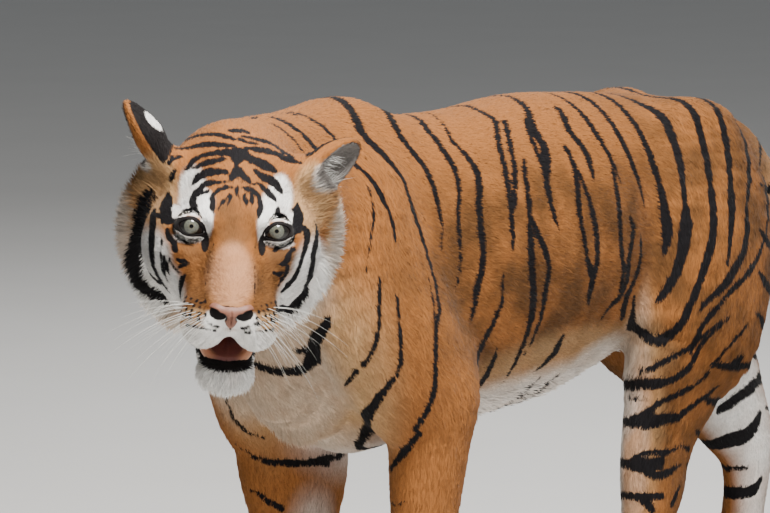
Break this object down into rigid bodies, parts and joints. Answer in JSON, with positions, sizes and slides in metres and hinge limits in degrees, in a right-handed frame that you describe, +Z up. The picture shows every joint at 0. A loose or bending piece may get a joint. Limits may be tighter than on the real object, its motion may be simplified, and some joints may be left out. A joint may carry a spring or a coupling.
{
  "type": "tiger, standing life-size model",
  "caption": "Life-size model of an adult tiger standing on all fours, head lowered and turned to its left, mouth slightly open, tail hanging and curving up at its tip.",
  "frame": {"origin": "on the floor, under the middle of the model's bounding box", "axes": "+X towards the chest along the trunk, +Y to the animal's left, +Z up"},
  "size_m": [1.9912, 0.5282, 0.9038],
  "materials": {
    "coat": "short dense fur, orange with near-black stripes, white to cream on the belly, chest, cheeks, brows and inner legs",
    "eye": "wet gloss, grey-green iris with a small round pupil",
    "nose": "fine-grained bare skin, pink with dark nostrils",
    "tongue": "moist"
  },
  "bodies": {
    "root": {"head": "coat", "jaw": "coat", "neck": "coat", "trunk": "coat", "tail_base": "coat", "tail_middle": "coat", "tail_tip": "coat", "ear_left": "coat", "ear_right": "coat", "foreleg_upper_left": "coat", "foreleg_lower_left": "coat", "forepaw_left": "coat", "hindleg_upper_left": "coat", "hindleg_lower_left": "coat", "hindpaw_left": "coat", "foreleg_upper_right": "coat", "foreleg_lower_right": "coat", "forepaw_right": "coat", "hindleg_upper_right": "coat", "hindleg_lower_right": "coat", "hindpaw_right": "coat", "eye_left": "eye", "eye_right": "eye", "nose": "nose", "tongue": "tongue"}
  },
  "joints": []
}
